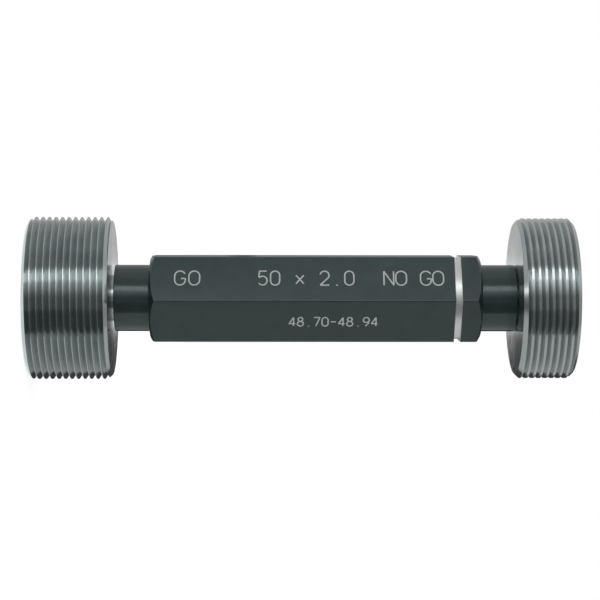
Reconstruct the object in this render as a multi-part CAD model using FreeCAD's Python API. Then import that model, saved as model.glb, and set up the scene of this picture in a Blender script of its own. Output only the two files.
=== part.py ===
"""Double-ended thread plug gauge, M50 x 2, in millimetres.

Three pieces: a hexagonal handle and two members, each held in the handle by a slow taper on its
shank. The members' heads are made at the major diameters of their threads. The gauge stands on
the outer face of the GO member, with +Z along its axis towards the NO-GO member. The origin is
the centre of that face, and two flats of the hexagon face -X and +X.
"""
import FreeCAD
import Part
import math
import os
from FreeCAD import Vector

# Heads of the two members. The NO-GO crests are cut back, so its major diameter is smaller.
GO_MAJOR_D = 50.0
GO_LENGTH = 25.5
NO_GO_MAJOR_D = 49.4
NO_GO_LENGTH = 17.3
HEAD_CHAMFER = 1.3

# Taper shank, the same on both members
SHANK_D = 14.0
TAPER = 1 / 50
SHANK_TIP_CHAMFER = 0.8

# Centre holes, on which the members are ground and measured
CENTRE_D = 5.3
CENTRE_ANGLE = 60.0
PILOT_D = 2.5
PILOT_DEPTH = 3.0
PILOT_TIP_ANGLE = 118.0

# Handle: a hexagonal bar with a turned neck and a chamfered shoulder at each end
HEX_ACROSS_FLATS = 26.0
HEX_LENGTH = 101.4
NECK_D = 20.5
NECK_LENGTH = 10.8
NECK_END_CHAMFER = 0.2
SHOULDER_D = 24.2
SHOULDER_ANGLE = 30.0

# Inside the handle: a taper bore from each end, and a drilled bore that joins them
THROUGH_BORE_D = 9.0
TAPER_BORE_PAST_DRIFT = 2.0

# The tapers take hold before a head reaches the end of the handle, so a narrow gap stays. It is
# wider where the taper fits more tightly.
GO_SEATING_GAP = 0.8
NO_GO_SEATING_GAP = 0.2

# Drift hole in one flat. A wedge pushed in here meets the tip of the shank and drives it out.
DRIFT_D = 9.0
DRIFT_FROM_SHOULDER = 28.3
DRIFT_CHAMFER = 0.5
DRIFT_TO_SHANK = 0.4

# Marking ring: a shallow groove near the NO-GO end
RING_WIDTH = 2.0
RING_DEPTH = 0.4
RING_FROM_SHOULDER = 7.4

# How far a cutting solid runs past the surface that it cuts
OVERCUT = 1.0

# Heights along the axis
HANDLE_LOW = GO_LENGTH + GO_SEATING_GAP
LOW_SHOULDER = HANDLE_LOW + NECK_LENGTH
HIGH_SHOULDER = LOW_SHOULDER + HEX_LENGTH
HANDLE_HIGH = HIGH_SHOULDER + NECK_LENGTH
GAUGE_LENGTH = HANDLE_HIGH + NO_GO_SEATING_GAP + NO_GO_LENGTH
DRIFT_Z = LOW_SHOULDER + DRIFT_FROM_SHOULDER
RING_Z = HIGH_SHOULDER - RING_FROM_SHOULDER

HEX_CORNER_R = HEX_ACROSS_FLATS / math.sqrt(3)
SHANK_LENGTH = DRIFT_Z - DRIFT_D / 2 - DRIFT_TO_SHANK - GO_LENGTH

ORIGIN = Vector(0, 0, 0)
AXIS = Vector(0, 0, 1)


def at(radius, z):
    """A point of a turned outline, in the half plane through +X."""
    return Vector(radius, 0, z)


def turned(points):
    """The solid that a closed outline, given by its corners, makes when it turns round the axis."""
    return Part.Face(Part.makePolygon(points + points[:1])).revolve(ORIGIN, AXIS, 360)


def flipped(solid, low, high):
    """A copy turned end for end about X, so that the heights low and high change places."""
    copy = solid.copy()
    copy.rotate(Vector(0, 0, (low + high) / 2), Vector(1, 0, 0), 180)
    return copy


def shank_radius(from_head):
    """The taper's radius at a distance from the head, shared by the shanks and their bores."""
    return SHANK_D / 2 - from_head * TAPER / 2


def centre_hole():
    """A centre hole with its drilled pilot, entering the plane z = 0 from below."""
    mouth_r = CENTRE_D / 2
    pilot_r = PILOT_D / 2
    cone_depth = (mouth_r - pilot_r) / math.tan(math.radians(CENTRE_ANGLE / 2))
    pilot_end = cone_depth + PILOT_DEPTH
    tip = pilot_end + pilot_r / math.tan(math.radians(PILOT_TIP_ANGLE / 2))
    return turned([at(0, 0), at(mouth_r, 0), at(pilot_r, cone_depth), at(pilot_r, pilot_end), at(0, tip)])


def member(major_d, head_length):
    """A head that stands on its outer face, with its taper shank pointing up."""
    head_r = major_d / 2
    rim_r = head_r - HEAD_CHAMFER
    tip_z = head_length + SHANK_LENGTH
    blank = turned([
        at(0, 0),
        at(rim_r, 0),
        at(head_r, HEAD_CHAMFER),
        at(head_r, head_length - HEAD_CHAMFER),
        at(rim_r, head_length),
        at(shank_radius(0), head_length),
        at(shank_radius(SHANK_LENGTH - SHANK_TIP_CHAMFER), tip_z - SHANK_TIP_CHAMFER),
        at(shank_radius(SHANK_LENGTH) - SHANK_TIP_CHAMFER, tip_z),
        at(0, tip_z),
    ])
    outer_centre = centre_hole()
    tip_centre = flipped(outer_centre, 0, tip_z)
    return blank.cut([outer_centre, tip_centre]).Solids[0]


def neck_waste():
    """What the lathe takes off the low end of the hexagonal bar to leave the neck and shoulder."""
    neck_r = NECK_D / 2
    shoulder_r = SHOULDER_D / 2
    waste_r = HEX_CORNER_R + OVERCUT
    waste_low = HANDLE_LOW - OVERCUT
    shoulder_rise = (waste_r - shoulder_r) * math.tan(math.radians(SHOULDER_ANGLE))
    return turned([
        at(neck_r - NECK_END_CHAMFER - OVERCUT, waste_low),
        at(neck_r, HANDLE_LOW + NECK_END_CHAMFER),
        at(neck_r, LOW_SHOULDER),
        at(shoulder_r, LOW_SHOULDER),
        at(waste_r, LOW_SHOULDER + shoulder_rise),
        at(waste_r, waste_low),
    ])


def ring_waste():
    """The groove that marks the NO-GO end, a little deeper than the flats all the way round."""
    floor_r = HEX_ACROSS_FLATS / 2 - RING_DEPTH
    waste_r = HEX_CORNER_R + OVERCUT
    low = RING_Z - RING_WIDTH / 2
    high = RING_Z + RING_WIDTH / 2
    return turned([at(floor_r, low), at(waste_r, low), at(waste_r, high), at(floor_r, high)])


def taper_bore(seating_gap):
    """The bore that a shank fills, from the low end of the handle past the drift hole."""
    mouth_z = HANDLE_LOW - OVERCUT
    end_z = DRIFT_Z + DRIFT_D / 2 + TAPER_BORE_PAST_DRIFT
    head_z = HANDLE_LOW - seating_gap
    return turned([
        at(0, mouth_z),
        at(shank_radius(mouth_z - head_z), mouth_z),
        at(shank_radius(end_z - head_z), end_z),
        at(0, end_z),
    ])


def through_bore():
    return Part.makeCylinder(THROUGH_BORE_D / 2, HANDLE_HIGH - HANDLE_LOW, at(0, HANDLE_LOW), AXIS)


def drift_hole():
    """The hole from the -X flat into the taper bore, with a chamfered mouth."""
    flat_x = -HEX_ACROSS_FLATS / 2
    drift_r = DRIFT_D / 2
    run = DRIFT_CHAMFER + OVERCUT
    inwards = Vector(1, 0, 0)
    drilled = Part.makeCylinder(drift_r, HEX_ACROSS_FLATS / 2, Vector(flat_x, 0, DRIFT_Z), inwards)
    mouth = Part.makeCone(drift_r + run, drift_r, run, Vector(flat_x - OVERCUT, 0, DRIFT_Z), inwards)
    return drilled.fuse(mouth)


def handle():
    """The hexagonal bar between the members, with corners of the hexagon towards -Y and +Y."""
    corners = [
        Vector(HEX_CORNER_R * math.cos(angle), HEX_CORNER_R * math.sin(angle), HANDLE_LOW)
        for angle in (math.radians(30 + 60 * side) for side in range(6))
    ]
    hexagon = Part.Face(Part.makePolygon(corners + corners[:1]))
    bar = hexagon.extrude(AXIS * (HANDLE_HIGH - HANDLE_LOW))
    low_waste = neck_waste()
    return bar.cut([
        low_waste,
        flipped(low_waste, HANDLE_LOW, HANDLE_HIGH),
        ring_waste(),
        taper_bore(GO_SEATING_GAP),
        flipped(taper_bore(NO_GO_SEATING_GAP), HANDLE_LOW, HANDLE_HIGH),
        through_bore(),
        drift_hole(),
    ]).Solids[0]


def gauge():
    """Every piece by its node's name, in its place in the gauge."""
    return {
        "handle": handle(),
        "go_member": member(GO_MAJOR_D, GO_LENGTH),
        "no_go_member": flipped(member(NO_GO_MAJOR_D, NO_GO_LENGTH), 0, GAUGE_LENGTH),
    }


os.makedirs("parts", exist_ok=True)
for name, solid in gauge().items():
    print(f"{name}: valid {solid.isValid()}, {solid.Volume:.1f} mm3")
    solid.exportStep(f"parts/{name}.step")
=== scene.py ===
"""The looks of a double-ended thread plug gauge, M50 x 2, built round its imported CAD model.

Everything is in the CAD model's frame: the gauge stands on its GO member, +Z runs along its axis
towards the NO-GO member, and two flats of the hexagonal handle face -X and +X. Blender's unit is
the metre. Outlines are written in millimetres and scaled as their vertices are made.
"""
import math

import bmesh
import bpy
from bpy.props import FloatProperty, FloatVectorProperty, IntProperty, PointerProperty, StringProperty
from mathutils import Matrix, Quaternion, Vector


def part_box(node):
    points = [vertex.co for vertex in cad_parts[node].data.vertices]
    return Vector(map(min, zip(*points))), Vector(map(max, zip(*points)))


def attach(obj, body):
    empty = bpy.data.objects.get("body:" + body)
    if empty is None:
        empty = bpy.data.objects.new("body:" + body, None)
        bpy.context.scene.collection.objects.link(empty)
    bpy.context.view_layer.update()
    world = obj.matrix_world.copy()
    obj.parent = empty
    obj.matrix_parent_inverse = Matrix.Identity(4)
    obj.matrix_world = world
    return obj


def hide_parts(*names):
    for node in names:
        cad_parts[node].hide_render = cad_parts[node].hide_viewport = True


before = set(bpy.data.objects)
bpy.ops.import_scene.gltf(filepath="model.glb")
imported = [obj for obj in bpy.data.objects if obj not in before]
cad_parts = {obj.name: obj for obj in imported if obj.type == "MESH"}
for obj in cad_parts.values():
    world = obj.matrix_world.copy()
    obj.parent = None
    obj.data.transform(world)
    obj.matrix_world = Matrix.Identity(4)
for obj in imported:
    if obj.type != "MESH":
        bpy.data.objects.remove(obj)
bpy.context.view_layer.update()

bl_info = {
    "name": "Thread plug gauge",
    "version": (1, 0, 0),
    "blender": (4, 5, 0),
    "location": "3D View > Sidebar > Plug gauge",
    "description": "Builds a thread plug gauge with ground threads, a blackened handle and its studio",
    "category": "Add Mesh",
}

MM = 0.001
TURN = 2 * math.pi
UP = Vector((0, 0, 1))

# Straight pieces in one turn of a large and of a small round form
TURNED_STEPS = 192
BORE_STEPS = 96

# How far a cutting solid runs past the surface that it cuts, in mm
OVERCUT = 1.0
PAST_CORNER = 2.0
GROOVE_OVERCUT = 0.12

CENTRE_HALF_ANGLE = math.radians(30)
PILOT_TIP_HALF_ANGLE = math.radians(59)

GO_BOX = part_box("go_member")
NO_GO_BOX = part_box("no_go_member")
HANDLE_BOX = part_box("handle")


# ---------------------------------------------------------------- sizes and colours

def millimetres(name, description, default):
    return FloatProperty(name=name, description=description, default=default, min=0, unit="NONE")


def degrees(name, description, default):
    return FloatProperty(name=name, description=description, default=math.radians(default), subtype="ANGLE")


def colour(name, description, code):
    return FloatVectorProperty(
        name=name, description=description, default=linear(code), size=4, min=0, max=1, subtype="COLOR"
    )


def linear(code):
    """An sRGB hex code as a linear colour with full alpha."""
    parts = [int(code[i:i + 2], 16) / 255 for i in (1, 3, 5)]
    return tuple(c / 12.92 if c <= 0.04045 else ((c + 0.055) / 1.055) ** 2.4 for c in parts) + (1.0,)


class ThreadSizes(bpy.types.PropertyGroup):
    pitch: millimetres("Pitch", "Distance from one crest to the next, mm", 2.0)
    included_angle: degrees("Included angle", "Angle between the two flanks of the groove", 60)
    go_pitch_diameter: millimetres("GO pitch diameter", "Where groove and ridge are equally wide, mm", 48.70)
    no_go_pitch_diameter: millimetres("NO-GO pitch diameter", "The same on the NO-GO member, mm", 48.94)
    go_crest_height: millimetres("GO crest", "Height of one crest on the side away from +Y, mm", 0.62)
    no_go_crest_height: millimetres("NO-GO crest", "The same on the NO-GO member, mm", 0.29)
    steps: IntProperty(name="Steps", description="Straight pieces in one turn", default=TURNED_STEPS)


class MemberSizes(bpy.types.PropertyGroup):
    go_gap: millimetres("GO seating gap", "Gap that the taper leaves between head and handle, mm", 0.8)
    no_go_gap: millimetres("NO-GO seating gap", "The same at the NO-GO member, mm", 0.2)
    head_chamfer: millimetres("Head chamfer", "45 degree chamfer at both ends of a head, mm", 1.3)
    shank_diameter: millimetres("Shank diameter", "Large end of the taper shank, mm", 14.0)
    taper: FloatProperty(name="Taper", description="Change of diameter over length", default=1 / 50)
    tip_chamfer: millimetres("Tip chamfer", "Chamfer at the small end of the shank, mm", 0.8)
    centre_diameter: millimetres("Centre hole", "Mouth of the 60 degree centre hole, mm", 5.3)
    pilot_diameter: millimetres("Pilot hole", "Drilled pilot beyond the centre hole's cone, mm", 2.5)
    pilot_depth: millimetres("Pilot depth", "Straight length of the pilot, mm", 3.0)


class HandleSizes(bpy.types.PropertyGroup):
    edge_rounding: millimetres("Edge rounding", "Radius on the long edges of the hexagon, mm", 0.35)
    neck_diameter: millimetres("Neck diameter", "Turned neck at each end, mm", 20.5)
    neck_length: millimetres("Neck length", "From the end of the handle to its shoulder, mm", 10.8)
    neck_chamfer: millimetres("Neck chamfer", "Broken edge at the end of a neck, mm", 0.2)
    neck_fillet: millimetres("Neck fillet", "Radius where the neck meets its shoulder, mm", 0.4)
    shoulder_diameter: millimetres("Shoulder diameter", "Where the shoulder's chamfer starts, mm", 24.2)
    shoulder_angle: degrees("Shoulder angle", "Slope of the chamfer on the hexagon's ends", 30)
    shoulder_rounding: millimetres("Shoulder rounding", "Radius at the chamfer's inner edge, mm", 0.6)
    bore_diameter: millimetres("Through bore", "Bore that joins the two taper bores, mm", 9.0)
    drift_diameter: millimetres("Drift hole", "Hole for driving out the GO member, mm", 9.0)
    drift_from_shoulder: millimetres("Drift hole place", "From the low shoulder to its centre, mm", 28.3)
    drift_chamfer: millimetres("Drift hole chamfer", "Chamfer at the mouth of the drift hole, mm", 0.5)
    bore_past_drift: millimetres("Taper bore run", "How far the taper bore runs past the drift hole, mm", 2.0)
    ring_width: millimetres("Ring width", "Width of the bright marking ring, mm", 2.0)
    ring_depth: millimetres("Ring depth", "Depth of the marking ring below the flats, mm", 0.4)
    ring_from_shoulder: millimetres("Ring place", "From the high shoulder to the ring's middle, mm", 7.4)


class MarkingSizes(bpy.types.PropertyGroup):
    size_mark: StringProperty(name="Size", description="Thread size in plain numbers", default="50 x 2.0")
    limit_mark: StringProperty(name="Limits", description="The two pitch diameters", default="48.70-48.94")
    large_height: millimetres("Large letters", "Height of the letters on the upper face, mm", 4.75)
    small_height: millimetres("Small letters", "Height of the figures on the lower face, mm", 3.15)
    large_stroke: millimetres("Large stroke", "Width of the cutter for the large letters, mm", 0.56)
    small_stroke: millimetres("Small stroke", "Width of the cutter for the small figures, mm", 0.5)
    depth: millimetres("Depth", "Depth of the engraving, mm", 0.15)


class FinishColours(bpy.types.PropertyGroup):
    steel: colour("Ground steel", "Threads, faces and shanks of the members", "#c8cecd")
    steel_shade: colour("Ground steel, duller", "Where the steel has dulled with handling", "#bbc1c2")
    black: colour("Black oxide", "The handle", "#1f2a2b")
    black_shade: colour("Black oxide, paler", "Cloudy patches of the black oxide", "#273334")
    oxide_tint: colour("Black oxide gloss", "Tint of the light that the black oxide mirrors", "#e2f6f5")
    ring: colour("Turned steel", "The bare ring near the NO-GO member", "#f3f5f4")
    paint: colour("Engraving paint", "Pale paint rubbed into the engraving", "#d4d8d7")


class StudioSettings(bpy.types.PropertyGroup):
    distance: FloatProperty(
        name="Distance", description="From the camera to the gauge", default=0.6, unit="LENGTH"
    )
    lens: FloatProperty(name="Lens", description="Focal length, mm", default=116.54)
    aim_height: millimetres("Aim height", "Height on the axis that the camera looks at, mm", 83.16)
    aim_drop: millimetres("Aim drop", "How far the picture's centre lies under the axis, mm", 0.604)
    raised: degrees("Raised", "How far the camera looks over the drift hole's side", 3.64)
    swung: degrees("Swung", "How far the camera looks along +Z", 0.963)
    rolled: degrees("Rolled", "Turn of the camera about its own axis, past a quarter turn", 0.05)


# ---------------------------------------------------------------- mesh tools

def rounded(corners, steps=6):
    """An outline's points, from corners given as (radius, height, rounding)."""
    points = []
    for i, (radius, height, rounding) in enumerate(corners):
        here = Vector((radius, height))
        if not rounding:
            points.append(here)
            continue
        before = (Vector(corners[i - 1][:2]) - here).normalized()
        after = (Vector(corners[i + 1][:2]) - here).normalized()
        half = before.angle(after) / 2
        centre = here + (before + after).normalized() * rounding / math.sin(half)
        start = here + before * rounding / math.tan(half) - centre
        end = here + after * rounding / math.tan(half) - centre
        sweep = start.angle_signed(end)
        points += [centre + Matrix.Rotation(-sweep * step / steps, 2) @ start for step in range(steps + 1)]
    return points


def turned(name, outline, steps, finishes, slot=0):
    """A closed shell from an outline in mm that starts and ends on the axis, or closes on itself."""
    bm = bmesh.new()
    points = [bm.verts.new((0, -radius * MM, height * MM)) for radius, height in outline]
    edges = [bm.edges.new(pair) for pair in zip(points, points[1:])]
    if outline[0][0] > 0:
        edges.append(bm.edges.new((points[-1], points[0])))
    bmesh.ops.spin(
        bm, geom=points + edges, cent=(0, 0, 0), axis=UP, angle=TURN, steps=steps, use_merge=True
    )
    return finished(name, bm, finishes, slot)


def finished(name, bm, finishes, slot=0):
    """Makes an object of a closed shell, with doubles merged and every face outwards."""
    bmesh.ops.remove_doubles(bm, verts=bm.verts, dist=0.0005 * MM)
    bmesh.ops.recalc_face_normals(bm, faces=bm.faces)
    for face in bm.faces:
        face.material_index = slot
    mesh = bpy.data.meshes.new(name)
    bm.to_mesh(mesh)
    bm.free()
    for finish in finishes:
        mesh.materials.append(finish)
    piece = bpy.data.objects.new(name, mesh)
    bpy.context.collection.objects.link(piece)
    return piece


def cut(piece, tool, operation="DIFFERENCE"):
    """Applies one boolean to a piece's mesh and deletes the tool."""
    modifier = piece.modifiers.new("Cut", "BOOLEAN")
    modifier.object = tool
    modifier.operation = operation
    modifier.solver = "MANIFOLD"
    graph = bpy.context.evaluated_depsgraph_get()
    mesh = bpy.data.meshes.new_from_object(piece.evaluated_get(graph), depsgraph=graph)
    piece.modifiers.clear()
    before, spent = piece.data, tool.data
    piece.data = mesh
    bpy.data.objects.remove(tool)
    bpy.data.meshes.remove(before)
    bpy.data.meshes.remove(spent)
    if not mesh.polygons:
        raise RuntimeError(f"{piece.name}: the cut left nothing")


def dress(piece, node, crease=math.radians(28)):
    """Finishes a piece: its shading, and what the frame needs to know of it."""
    mesh = piece.data
    mesh.polygons.foreach_set("use_smooth", [True] * len(mesh.polygons))
    mesh.set_sharp_from_angle(angle=crease)
    mesh.update()
    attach(piece, "root")
    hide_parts(node)


# ---------------------------------------------------------------- materials

def add_node(tree, kind, inputs=None, **settings):
    """Adds a node with its settings. Each input is a value or another node's output."""
    made = tree.nodes.new(kind)
    for name, value in settings.items():
        setattr(made, name, value)
    for name, value in (inputs or {}).items():
        if isinstance(value, bpy.types.NodeSocket):
            tree.links.new(value, made.inputs[name])
        else:
            made.inputs[name].default_value = value
    return made


def new_material(name):
    material = bpy.data.materials.new(name)
    material.use_nodes = True
    material.node_tree.nodes.clear()
    return material, material.node_tree


def surface(tree, shader):
    add_node(tree, "ShaderNodeOutputMaterial", {"Surface": shader.outputs[0]})


def lathe_coordinates(tree):
    """Distance from the axis and height along it, so that a pattern runs round the axis."""
    place = add_node(tree, "ShaderNodeTexCoord")
    split = add_node(tree, "ShaderNodeSeparateXYZ", {"Vector": place.outputs["Object"]})
    flat = add_node(tree, "ShaderNodeCombineXYZ", {"X": split.outputs["X"], "Y": split.outputs["Y"]})
    radius = add_node(tree, "ShaderNodeVectorMath", {0: flat.outputs[0]}, operation="LENGTH")
    return add_node(
        tree, "ShaderNodeCombineXYZ", {"X": radius.outputs["Value"], "Y": split.outputs["Z"]}
    ).outputs[0]


def mottled(tree, vector, size_mm, low, high, detail=3.0):
    """A soft noise of patches about size_mm across, spread between two values."""
    noise = add_node(
        tree, "ShaderNodeTexNoise",
        {"Vector": vector, "Scale": 1 / (size_mm * MM), "Detail": detail, "Roughness": 0.55},
    )
    return add_node(
        tree, "ShaderNodeMapRange",
        {"Value": noise.outputs["Fac"], "From Min": 0.3, "From Max": 0.7, "To Min": low, "To Max": high},
    ).outputs["Result"]


def colour_sockets(sockets):
    """The colour sockets of a Mix node, which also has hidden ones for numbers and vectors."""
    return [socket for socket in sockets if socket.type == "RGBA"]


def two_tone(tree, factor, first, second):
    mix = add_node(tree, "ShaderNodeMix", {"Factor": factor}, data_type="RGBA")
    for socket, value in zip(colour_sockets(mix.inputs), (first, second)):
        socket.default_value = value
    return colour_sockets(mix.outputs)[0]


def ground_gauge_steel(colours):
    """Hardened tool steel, cylindrically ground: a near mirror with fine lines round the axis.

    Ground crests and flanks mirror the studio in crisp bands, stretched across the lay.
    """
    material, tree = new_material("Ground gauge steel")
    lay = lathe_coordinates(tree)
    place = add_node(tree, "ShaderNodeTexCoord").outputs["Object"]
    dulled = mottled(tree, place, 9.0, 0.0, 1.0)
    base = two_tone(tree, dulled, colours.steel, colours.steel_shade)
    roughness = mottled(tree, place, 4.0, 0.15, 0.21)
    # Real grinding lines are some 0.02 mm apart. They are drawn at 0.25 mm so that they show.
    lines = add_node(tree, "ShaderNodeTexNoise", {"Vector": lay, "Scale": 1 / (0.25 * MM), "Detail": 2.0})
    bump = add_node(
        tree, "ShaderNodeBump", {"Height": lines.outputs["Fac"], "Strength": 0.12, "Distance": 0.004 * MM}
    )
    tangent = add_node(tree, "ShaderNodeTangent", direction_type="RADIAL", axis="Z")
    shader = add_node(tree, "ShaderNodeBsdfPrincipled", {
        "Base Color": base,
        "Metallic": 1.0,
        "Roughness": roughness,
        "Anisotropic": 0.5,
        "Anisotropic Rotation": 0.25,
        "Tangent": tangent.outputs[0],
        "Normal": bump.outputs[0],
    })
    surface(tree, shader)
    return material


def black_oxide(name, colours, roughness, lay_vector, line_mm):
    """Black oxide on steel: a thin dark crust that keeps the tool marks of the metal under it."""
    material, tree = new_material(name)
    place = add_node(tree, "ShaderNodeTexCoord").outputs["Object"]
    clouds = mottled(tree, place, 5.0, 0.0, 1.0, detail=5.0)
    base = two_tone(tree, clouds, colours.black, colours.black_shade)
    gloss = mottled(tree, place, 2.5, roughness - 0.03, roughness + 0.03)
    lines = add_node(
        tree, "ShaderNodeTexNoise",
        {"Vector": lay_vector(tree, place), "Scale": 1 / (line_mm * MM), "Detail": 3.0},
    )
    bump = add_node(
        tree, "ShaderNodeBump", {"Height": lines.outputs["Fac"], "Strength": 0.15, "Distance": 0.01 * MM}
    )
    shader = add_node(tree, "ShaderNodeBsdfPrincipled", {
        "Base Color": base,
        "Metallic": 0.0,
        "Roughness": gloss,
        "IOR": 1.8,
        "Specular Tint": colours.oxide_tint,
        "Normal": bump.outputs[0],
    })
    surface(tree, shader)
    return material


def along_the_bar(tree, place):
    """Coordinates that change fast across the bar and slowly along it, as drawing marks do."""
    return add_node(
        tree, "ShaderNodeMapping", {"Vector": place, "Scale": (1.0, 1.0, 0.04)}
    ).outputs[0]


def round_the_axis(tree, place):
    return lathe_coordinates(tree)


def drawn_black_oxide(colours):
    """Cold-drawn hexagonal bar, blackened: satin, with faint marks along its length."""
    return black_oxide("Black oxide on drawn steel", colours, 0.36, along_the_bar, 0.5)


def turned_black_oxide(colours):
    """Necks and shoulders turned on a lathe, then blackened: smoother, so its highlight is sharp."""
    return black_oxide("Black oxide on turned steel", colours, 0.17, round_the_axis, 0.2)


def turned_steel(colours):
    """A ring turned through the black into bare steel: bright, with visible tool lines."""
    material, tree = new_material("Bare turned steel")
    lines = add_node(
        tree, "ShaderNodeTexNoise",
        {"Vector": lathe_coordinates(tree), "Scale": 1 / (0.18 * MM), "Detail": 1.0},
    )
    bump = add_node(
        tree, "ShaderNodeBump", {"Height": lines.outputs["Fac"], "Strength": 0.3, "Distance": 0.01 * MM}
    )
    shader = add_node(tree, "ShaderNodeBsdfPrincipled", {
        "Base Color": colours.ring,
        "Metallic": 1.0,
        "Roughness": 0.4,
        "Normal": bump.outputs[0],
    })
    surface(tree, shader)
    return material


def engraving_paint(colours):
    """Pale enamel rubbed into the engraving and wiped off: matt, so it reads from any side."""
    material, tree = new_material("Wiped engraving enamel")
    place = add_node(tree, "ShaderNodeTexCoord").outputs["Object"]
    patches = mottled(tree, place, 0.4, 0.82, 1.0)
    dim = add_node(tree, "ShaderNodeMix", {"Factor": 1.0}, data_type="RGBA", blend_type="MULTIPLY")
    enamel, factor = colour_sockets(dim.inputs)
    enamel.default_value = colours.paint
    tree.links.new(patches, factor)
    tinted = colour_sockets(dim.outputs)[0]
    shader = add_node(tree, "ShaderNodeBsdfPrincipled", {"Base Color": tinted, "Roughness": 0.6})
    surface(tree, shader)
    return material


# ---------------------------------------------------------------- members

def centre_hole(sizes, outer_z, inwards):
    """Corners of a centre hole from its pilot's tip out to its mouth, for a face at outer_z."""
    mouth = sizes.centre_diameter / 2
    pilot = sizes.pilot_diameter / 2
    cone_depth = (mouth - pilot) / math.tan(CENTRE_HALF_ANGLE)
    pilot_end = cone_depth + sizes.pilot_depth
    tip = pilot_end + pilot / math.tan(PILOT_TIP_HALF_ANGLE)
    steps = ((0, tip), (pilot, pilot_end), (pilot, cone_depth), (mouth, 0))
    return [(radius, outer_z + inwards * depth, 0) for radius, depth in steps]


def member_outline(sizes, major, head, total):
    """Corners of a member from its outer face at 0 to the tip of its shank at total, in mm."""
    chamfer = sizes.head_chamfer
    shank = sizes.shank_diameter / 2
    tip = shank - (total - head) * sizes.taper / 2
    cham = sizes.tip_chamfer
    return centre_hole(sizes, 0, 1) + [
        (major - chamfer, 0, 0),
        (major, chamfer, 0),
        (major, head - chamfer, 0),
        (major - chamfer, head, 0),
        (shank, head, 0),
        (tip + cham * sizes.taper / 2, total - cham, 0),
        (tip - cham, total, 0),
    ] + centre_hole(sizes, total, -1)[::-1]


def thread_groove(name, thread, major, pitch_radius, crest_z, low, high, finishes):
    """The helical V that the grinding wheel takes out, from below low to above high, in mm."""
    half_angle = thread.included_angle / 2
    apex = pitch_radius - thread.pitch / 4 / math.tan(half_angle)
    outer = major + GROOVE_OVERCUT
    half_width = (outer - apex) * math.tan(half_angle)
    start = crest_z + thread.pitch / 2
    while start > low - 1.5 * thread.pitch:
        start -= thread.pitch
    turns = math.ceil((high - start) / thread.pitch) + 1
    bm = bmesh.new()
    section = [(apex, start), (outer, start - half_width), (outer, start + half_width)]
    ring = [bm.verts.new((0, -radius * MM, height * MM)) for radius, height in section]
    edges = [bm.edges.new((ring[i - 1], ring[i])) for i in range(3)]
    bmesh.ops.spin(
        bm, geom=ring + edges, cent=(0, 0, 0), axis=UP, angle=TURN,
        steps=thread.steps, dvec=UP * thread.pitch * MM / thread.steps,
    )
    one_turn = bm.verts[:] + bm.edges[:] + bm.faces[:]
    for count in range(1, turns):
        copied = bmesh.ops.duplicate(bm, geom=one_turn)
        moved = [item for item in copied["geom"] if isinstance(item, bmesh.types.BMVert)]
        bmesh.ops.translate(bm, verts=moved, vec=UP * thread.pitch * MM * count)
    bmesh.ops.remove_doubles(bm, verts=bm.verts, dist=0.0005 * MM)
    bmesh.ops.holes_fill(bm, edges=[edge for edge in bm.edges if edge.is_boundary], sides=3)
    return finished(name, bm, finishes)


def build_member(name, node, box, upside_down, pitch_diameter, crest_height):
    """One member: a turned blank with its thread cut by a helical groove."""
    scene = bpy.context.scene
    sizes = scene.plug_member
    thread = scene.plug_thread
    low, high = box[0].z / MM, box[1].z / MM
    major = box[1].x / MM
    if upside_down:
        head = high - HANDLE_BOX[1].z / MM - sizes.no_go_gap
    else:
        head = HANDLE_BOX[0].z / MM - sizes.go_gap - low
    corners = member_outline(sizes, major, head, high - low)
    if upside_down:
        corners = [(radius, high - height, rounding) for radius, height, rounding in corners]
    finishes = [bpy.data.materials.get("Ground gauge steel") or ground_gauge_steel(scene.plug_colours)]
    piece = turned(name, [corner[:2] for corner in corners], thread.steps, finishes)
    first, last = (high - head, high) if upside_down else (low, low + head)
    groove = thread_groove(
        name + "Groove", thread, major, pitch_diameter / 2, crest_height, first, last, finishes
    )
    cut(piece, groove)
    dress(piece, node)


class PLUG_OT_go_member(bpy.types.Operator):
    """Build the GO member: the long threaded head with its taper shank"""
    bl_idname = "plug.go_member"
    bl_label = "GO member"

    def execute(self, context):
        thread = context.scene.plug_thread
        build_member("GoMember", "go_member", GO_BOX, False, thread.go_pitch_diameter, thread.go_crest_height)
        return {"FINISHED"}


class PLUG_OT_no_go_member(bpy.types.Operator):
    """Build the NO-GO member: the short head, whose crests are cut back to wide lands"""
    bl_idname = "plug.no_go_member"
    bl_label = "NO-GO member"

    def execute(self, context):
        thread = context.scene.plug_thread
        build_member(
            "NoGoMember", "no_go_member", NO_GO_BOX, True,
            thread.no_go_pitch_diameter, thread.no_go_crest_height,
        )
        return {"FINISHED"}


# ---------------------------------------------------------------- handle

DRAWN, TURNED, BARE, PAINTED = range(4)


def hexagonal_bar(sizes, low, high, finishes):
    """The drawn bar, with rounded long edges and a corner towards -Y and +Y."""
    corner = HANDLE_BOX[1].x / math.cos(math.radians(30))
    bm = bmesh.new()
    bmesh.ops.create_circle(bm, cap_ends=True, radius=corner, segments=6)
    bmesh.ops.translate(bm, verts=bm.verts, vec=UP * low * MM)
    bmesh.ops.bevel(
        bm, geom=bm.verts[:], offset=sizes.edge_rounding * MM, segments=5, profile=0.5,
        affect="VERTICES", material=-1,
    )
    grown = bmesh.ops.extrude_face_region(bm, geom=bm.faces[:])
    top = [item for item in grown["geom"] if isinstance(item, bmesh.types.BMVert)]
    bmesh.ops.translate(bm, verts=top, vec=UP * (high - low) * MM)
    return finished("Handle", bm, finishes, DRAWN)


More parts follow.
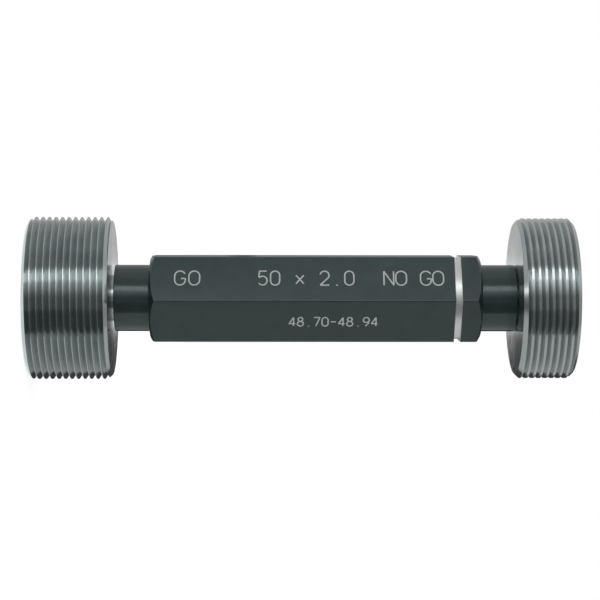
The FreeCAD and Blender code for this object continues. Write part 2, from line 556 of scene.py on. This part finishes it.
def handle_end(sizes, end_z, inwards):
    """Corners of one turned end, from the axis out past the hexagon's corners."""
    neck = sizes.neck_diameter / 2
    shoulder = sizes.shoulder_diameter / 2
    corner = HANDLE_BOX[1].y / MM + PAST_CORNER
    rise = (corner - shoulder) * math.tan(sizes.shoulder_angle)
    steps = [
        (0, 0, 0),
        (neck - sizes.neck_chamfer, 0, 0),
        (neck, sizes.neck_chamfer, 0),
        (neck, sizes.neck_length, sizes.neck_fillet),
        (shoulder, sizes.neck_length, sizes.shoulder_rounding),
        (corner, sizes.neck_length + rise, 0),
    ]
    return [(radius, end_z + inwards * depth, rounding) for radius, depth, rounding in steps]


def taper_bore(member, sizes, gap, end_z, inwards, finishes):
    """The taper bore that a shank fills, as a solid to cut away."""
    length = sizes.neck_length + sizes.drift_from_shoulder + sizes.drift_diameter / 2 + sizes.bore_past_drift
    big = member.shank_diameter / 2

    def radius(depth):
        return big - (depth + gap) * member.taper / 2

    outline = [(0, -OVERCUT), (radius(-OVERCUT), -OVERCUT), (radius(length), length), (0, length)]
    placed = [(r, end_z + inwards * depth) for r, depth in outline]
    return turned("TaperBore", placed, BORE_STEPS, finishes, TURNED)


def drift_hole(sizes, z, finishes):
    """The drill and countersink for the drift hole, entering from -X."""
    flat = HANDLE_BOX[1].x / MM
    drill = sizes.drift_diameter / 2
    mouth = drill + sizes.drift_chamfer + OVERCUT
    outline = [(0, -OVERCUT), (mouth, -OVERCUT), (drill, sizes.drift_chamfer), (drill, flat), (0, flat)]
    tool = turned("DriftHole", outline, BORE_STEPS, finishes, TURNED)
    tool.data.transform(
        Matrix.Translation((-HANDLE_BOX[1].x, 0, z * MM)) @ Matrix.Rotation(math.radians(90), 4, "Y")
    )
    return tool


def marking_ring(sizes, z, finishes):
    floor = HANDLE_BOX[1].x / MM - sizes.ring_depth
    outer = HANDLE_BOX[1].y / MM + PAST_CORNER
    half = sizes.ring_width / 2
    outline = [(floor, z - half), (outer, z - half), (outer, z + half), (floor, z + half)]
    return turned("MarkingRing", outline, TURNED_STEPS, finishes, BARE)


# ---------------------------------------------------------------- engraving

def arc(x, y, rx, ry, start, end, steps=8):
    """Points on part of an ellipse, with angles in degrees from +x."""
    angles = [math.radians(start + (end - start) * i / steps) for i in range(steps + 1)]
    return [(x + rx * math.cos(a), y + ry * math.sin(a)) for a in angles]


def oval(width):
    """An upright oval with straight sides, one letter high."""
    r = width / 2
    return arc(r, 1 - r, r, r, 0, 180) + arc(r, r, r, r, 180, 360) + [(width, 1 - r)]


# Each glyph is its width and the strokes of an engraving cutter, with one letter height as unit.
# The cutter is lifted at a sharp corner, so no stroke turns sharply or crosses itself.
GLYPHS = {
    "G": (0.68, [arc(0.34, 0.66, 0.34, 0.34, 25, 180) + arc(0.34, 0.34, 0.34, 0.34, 180, 360),
                 [(0.68, 0.3), (0.68, 0.46)], [(0.7, 0.46), (0.4, 0.46)]]),
    "O": (0.68, [oval(0.68)]),
    "N": (0.62, [[(0, 0), (0, 1)], [(0, 1), (0.62, 0)], [(0.62, 0), (0.62, 1)]]),
    "0": (0.58, [oval(0.58)]),
    "2": (0.58, [arc(0.29, 0.7, 0.29, 0.3, 170, -30) + [(0, 0)], [(0, 0), (0.58, 0)]]),
    "4": (0.6, [[(0.44, 0), (0.44, 1)], [(0.44, 1), (0, 0.28)], [(0, 0.28), (0.6, 0.28)]]),
    "5": (0.58, [[(0.54, 1), (0.08, 1)], [(0.08, 1), (0.04, 0.56)], arc(0.28, 0.32, 0.3, 0.32, 140, -145)]),
    "7": (0.58, [[(0, 1), (0.58, 1)], [(0.58, 1), (0.2, 0)]]),
    "8": (0.58, [arc(0.29, 0.77, 0.23, 0.23, 0, 360, 14), arc(0.29, 0.27, 0.29, 0.27, 0, 360, 14)]),
    "9": (0.58, [arc(0.29, 0.71, 0.29, 0.29, 0, 360, 14), [(0.58, 0.71), (0.5, 0.3), (0.2, 0)]]),
    "x": (0.5, [[(0, 0.1), (0.5, 0.7)], [(0, 0.7), (0.5, 0.1)]]),
    ".": (0.1, [[(0, 0), (0.1, 0)]]),
    "-": (0.5, [[(0, 0.5), (0.5, 0.5)]]),
}


def stroke_tool(points, stroke, place, finishes):
    """One pass of the engraving cutter along flat points in mm, as a solid to cut away."""
    curve = bpy.data.curves.new("Stroke", "CURVE")
    curve.dimensions = "3D"
    curve.bevel_depth = stroke * MM / 2
    curve.bevel_resolution = 2
    curve.use_fill_caps = True
    spline = curve.splines.new("POLY")
    if math.dist(points[0], points[-1]) < 0.01:
        points = points[:-1]
        spline.use_cyclic_u = True
    spline.points.add(len(points) - 1)
    for point, (x, y) in zip(spline.points, points):
        point.co = (x * MM, y * MM, 0, 1)
    maker = bpy.data.objects.new("Stroke", curve)
    bpy.context.collection.objects.link(maker)
    graph = bpy.context.evaluated_depsgraph_get()
    mesh = bpy.data.meshes.new_from_object(maker.evaluated_get(graph), depsgraph=graph)
    bpy.data.objects.remove(maker)
    bpy.data.curves.remove(curve)
    mesh.transform(place)
    bm = bmesh.new()
    bm.from_mesh(mesh)
    bpy.data.meshes.remove(mesh)
    return finished("StrokeTool", bm, finishes, PAINTED)


def engrave(piece, text, height, stroke, depth, spacing, centre_z, face_turn, lift, finishes):
    """Cuts a line of text into a flat, stroke by stroke.

    face_turn is the flat's direction round the axis from -Y towards -X. lift moves the text
    across the flat, towards the tops of the letters. All lengths are in mm.
    """
    outwards = Vector((-math.sin(face_turn), -math.cos(face_turn), 0))
    tops = outwards.cross(UP)
    sink = HANDLE_BOX[1].x / MM + stroke / 2 - depth
    face = Matrix((UP, tops, outwards)).transposed().to_4x4()
    place = Matrix.Translation(outwards * sink * MM + tops * lift * MM + UP * centre_z * MM) @ face
    for slot, letter in enumerate(text):
        if letter == " ":
            continue
        width, strokes = GLYPHS[letter]
        left = spacing * (slot - (len(text) - 1) / 2) - width / 2 * height
        for points in strokes:
            flat = [(left + x * height, (y - 0.5) * height) for x, y in points]
            cut(piece, stroke_tool(flat, stroke, place, finishes))


class PLUG_OT_handle(bpy.types.Operator):
    """Build the handle: hexagonal bar, turned ends, bores, drift hole, ring and engraving"""
    bl_idname = "plug.handle"
    bl_label = "Handle"

    def execute(self, context):
        scene = context.scene
        sizes = scene.plug_handle
        marks = scene.plug_marking
        colours = scene.plug_colours
        low, high = HANDLE_BOX[0].z / MM, HANDLE_BOX[1].z / MM
        low_shoulder = low + sizes.neck_length
        high_shoulder = high - sizes.neck_length
        middle = (low + high) / 2

        finishes = [
            drawn_black_oxide(colours),
            turned_black_oxide(colours),
            turned_steel(colours),
            engraving_paint(colours),
        ]

        handle = hexagonal_bar(sizes, low - OVERCUT, high + OVERCUT, finishes)
        outline = rounded(handle_end(sizes, low, 1) + handle_end(sizes, high, -1)[::-1])
        cut(handle, turned("TurnedEnds", outline, TURNED_STEPS, finishes, TURNED), "INTERSECT")
        member = scene.plug_member
        cut(handle, taper_bore(member, sizes, member.go_gap, low, 1, finishes))
        cut(handle, taper_bore(member, sizes, member.no_go_gap, high, -1, finishes))
        radius = sizes.bore_diameter / 2
        through = [(0, low_shoulder), (radius, low_shoulder), (radius, high_shoulder), (0, high_shoulder)]
        cut(handle, turned("ThroughBore", through, BORE_STEPS, finishes, TURNED))
        cut(handle, drift_hole(sizes, low_shoulder + sizes.drift_from_shoulder, finishes))
        cut(handle, marking_ring(sizes, high_shoulder - sizes.ring_from_shoulder, finishes))

        upper, lower = math.radians(30), math.radians(-30)
        large = (marks.large_height, marks.large_stroke, marks.depth)
        small = (marks.small_height, marks.small_stroke, marks.depth)
        for text, look, spacing, offset, turn, lift in (
            ("GO", large, 4.3, -39.0, upper, 0.3),
            (marks.size_mark, large, 3.75, -3.0, upper, 0.3),
            ("NO GO", large, 3.75, 29.6, upper, 0.3),
            (marks.limit_mark, small, 2.5, 5.3, lower, 0.0),
        ):
            engrave(handle, text, *look, spacing, middle + offset, turn, lift, finishes)
        dress(handle, "handle")
        return {"FINISHED"}


# ---------------------------------------------------------------- studio

# Cards round the gauge, as (name, from, to, level), which only its polished surfaces mirror.
# Angles are in degrees round the axis, from the camera's side over the drift hole's side.
CARDS = (
    ("BlackFlag", -51, -14, 0.12),
    ("FlagEdge", -14, 9, 0.22),
    ("DimCard", 9, 15, 0.36),
    ("GreyCard", 15, 21, 0.6),
    ("PaleCard", 21, 30.5, 0.85),
    ("LowTube", 30.5, 33.5, 2.4),
    ("LowGap", 33.5, 36.0, 1.0),
    ("MiddleTube", 36.0, 39.0, 2.4),
    ("HighGap", 39.0, 41.5, 1.0),
    ("HighTube", 41.5, 44.5, 2.4),
    ("CardEdge", 44.5, 48, 0.9),
    ("NearCard", 48, 76, 0.4),
    ("SideCard", 76, 150, 0.5),
    ("BackCard", 150, 183.5, 0.5),
    ("DarkCard", -176.5, -145, 0.05),
    ("TableCard", -145, -51, 0.52),
)
CEILINGS = (
    ("LitCeiling", -20, 150, 0.72),
    ("DimCeiling", 150, 340, 0.35),
)
CARD_REACH = 1.0
CARD_HEIGHT = 2.5
CARD_FOOT = 0.0002
CEILING_HUB = 0.001
PAST_CARDS = 1.1

# The one lamp, as name, angle, width, height and level. Polished surfaces don't mirror it.
SOFT_BOX = ("SoftBox", 38, 0.3, 1.1, 1.5)

FLOOR_PAPER = "#ececec"
FLOOR_GLOW = 0.62
WORLD_LEVEL = 0.55


def studio_point(angle, distance, height=0.0):
    turn = math.radians(angle)
    return Vector((-math.sin(turn) * distance, -math.cos(turn) * distance, height))


def glowing(name, level):
    material, tree = new_material(name)
    surface(tree, add_node(tree, "ShaderNodeEmission", {"Color": (1, 1, 1, 1), "Strength": level}))
    return material


def board(name, start, end, level, corners):
    """Strips of card from one angle to another, with the points that corners gives at each angle."""
    steps = max(2, round(abs(end - start) / 4))
    bm = bmesh.new()
    strips = []
    for step in range(steps + 1):
        places = corners(start + (end - start) * step / steps)
        strips.append([bm.verts.new(place) for place in places])
    for one, two in zip(strips, strips[1:]):
        for i in range(len(one) - 1):
            bm.faces.new((one[i], two[i], two[i + 1], one[i + 1]))
    mesh = bpy.data.meshes.new(name)
    bm.to_mesh(mesh)
    bm.free()
    made = bpy.data.objects.new(name, mesh)
    mesh.materials.append(glowing(name + "Light", level))
    bpy.context.collection.objects.link(made)
    made.visible_camera = False
    made.visible_diffuse = False
    made.visible_shadow = False


def card_corners(angle):
    """A card runs along the floor from the gauge's foot and then up.

    A mirror turns light by twice its own angle, so an edge of the card starts on the gauge's foot
    at half the angle in which it runs away. That keeps the edge straight in the steel.
    """
    rim = studio_point(angle / 2, GO_BOX[1].x, CARD_FOOT)
    wall = rim + studio_point(angle, CARD_REACH)
    return rim, wall, wall + UP * CARD_HEIGHT


def ceiling_corners(angle):
    rim = CARD_REACH * PAST_CARDS
    return studio_point(angle, CEILING_HUB, CARD_HEIGHT), studio_point(angle, rim, CARD_HEIGHT)


def strip_lamp(name, angle, width, height, level):
    """A tall soft box that faces the gauge, with its brightness given as a level, 1 being white."""
    lamp = bpy.data.lights.new(name, "AREA")
    lamp.shape = "RECTANGLE"
    lamp.size = width
    lamp.size_y = height
    lamp.energy = level * math.pi * width * height
    holder = bpy.data.objects.new(name, lamp)
    holder.location = studio_point(angle, CARD_REACH, height / 2)
    inwards = -studio_point(angle, 1.0)
    holder.rotation_euler = inwards.to_track_quat("-Z", "Y").to_euler()
    holder.visible_camera = False
    holder.visible_glossy = False
    bpy.context.collection.objects.link(holder)


def seen_directly(tree):
    """1 for rays that come from the camera, a mirror or through glass, and 0 for the rest."""
    path = add_node(tree, "ShaderNodeLightPath")
    either = add_node(
        tree, "ShaderNodeMath",
        {0: path.outputs["Is Camera Ray"], 1: path.outputs["Is Glossy Ray"]}, operation="MAXIMUM",
    )
    return add_node(
        tree, "ShaderNodeMath", {0: either.outputs[0], 1: path.outputs["Is Transmission Ray"]},
        operation="MAXIMUM",
    ).outputs[0]


def build_floor():
    """A pale floor that glows a little where it is looked at, so only the shadow is darker than white."""
    bm = bmesh.new()
    bmesh.ops.create_circle(bm, cap_ends=True, radius=CARD_REACH * PAST_CARDS, segments=BORE_STEPS)
    mesh = bpy.data.meshes.new("Floor")
    bm.to_mesh(mesh)
    bm.free()
    floor = bpy.data.objects.new("Floor", mesh)
    bpy.context.collection.objects.link(floor)
    material, tree = new_material("Pale floor")
    paper = add_node(tree, "ShaderNodeBsdfDiffuse", {"Color": linear(FLOOR_PAPER)})
    glow = add_node(tree, "ShaderNodeMath", {0: seen_directly(tree), 1: FLOOR_GLOW}, operation="MULTIPLY")
    light = add_node(tree, "ShaderNodeEmission", {"Color": (1, 1, 1, 1), "Strength": glow.outputs[0]})
    both = add_node(tree, "ShaderNodeAddShader", {0: paper.outputs[0], 1: light.outputs[0]})
    surface(tree, both)
    mesh.materials.append(material)


def build_world():
    world = bpy.data.worlds.new("Studio")
    world.use_nodes = True
    tree = world.node_tree
    tree.nodes.clear()
    level = add_node(
        tree, "ShaderNodeMapRange", {"Value": seen_directly(tree), "To Min": WORLD_LEVEL, "To Max": 1.0}
    )
    light = add_node(
        tree, "ShaderNodeBackground", {"Color": (1, 1, 1, 1), "Strength": level.outputs["Result"]}
    )
    add_node(tree, "ShaderNodeOutputWorld", {"Surface": light.outputs[0]})
    bpy.context.scene.world = world


def build_camera(studio):
    """The camera lies on its side, so that the standing gauge crosses the picture."""
    raised, swung = studio.raised, studio.swung
    forward = Vector((
        math.sin(raised) * math.cos(swung), math.cos(raised) * math.cos(swung), math.sin(swung)
    ))
    picture_up = Vector((-math.cos(raised), math.sin(raised), 0))
    lens = bpy.data.cameras.new("Camera")
    lens.lens = studio.lens
    lens.clip_start = 0.01
    holder = bpy.data.objects.new("Camera", lens)
    holder.location = (
        UP * studio.aim_height * MM - forward * studio.distance - picture_up * studio.aim_drop * MM
    )
    holder.rotation_mode = "QUATERNION"
    upright = forward.to_track_quat("-Z", "Y")
    holder.rotation_quaternion = upright @ Quaternion((0, 0, 1), math.radians(90) + studio.rolled)
    bpy.context.collection.objects.link(holder)
    bpy.context.scene.camera = holder


class PLUG_OT_studio(bpy.types.Operator):
    """Build the pale floor, the soft light round the gauge and the camera"""
    bl_idname = "plug.studio"
    bl_label = "Studio"

    def execute(self, context):
        build_world()
        build_floor()
        for place in CARDS:
            board(*place, card_corners)
        for place in CEILINGS:
            board(*place, ceiling_corners)
        strip_lamp(*SOFT_BOX)
        build_camera(context.scene.plug_studio)
        context.scene.view_settings.view_transform = "Standard"
        return {"FINISHED"}


# ---------------------------------------------------------------- add-on

class PLUG_PT_panel(bpy.types.Panel):
    """Lists the pieces of the gauge and its studio"""
    bl_idname = "PLUG_PT_panel"
    bl_label = "Thread plug gauge"
    bl_space_type = "VIEW_3D"
    bl_region_type = "UI"
    bl_category = "Plug gauge"

    def draw(self, context):
        for operator in OPERATORS:
            self.layout.operator(operator.bl_idname)


GROUPS = {
    "plug_thread": ThreadSizes,
    "plug_member": MemberSizes,
    "plug_handle": HandleSizes,
    "plug_marking": MarkingSizes,
    "plug_colours": FinishColours,
    "plug_studio": StudioSettings,
}
OPERATORS = (PLUG_OT_go_member, PLUG_OT_no_go_member, PLUG_OT_handle, PLUG_OT_studio)


def register():
    for kind in (*GROUPS.values(), *OPERATORS, PLUG_PT_panel):
        bpy.utils.register_class(kind)
    for name, group in GROUPS.items():
        setattr(bpy.types.Scene, name, PointerProperty(type=group))


def unregister():
    for name in GROUPS:
        delattr(bpy.types.Scene, name)
    for kind in reversed((*GROUPS.values(), *OPERATORS, PLUG_PT_panel)):
        bpy.utils.unregister_class(kind)


def main():
    register()
    bpy.ops.plug.go_member()
    bpy.ops.plug.no_go_member()
    bpy.ops.plug.handle()
    bpy.ops.plug.studio()


if __name__ == "__main__":
    main()
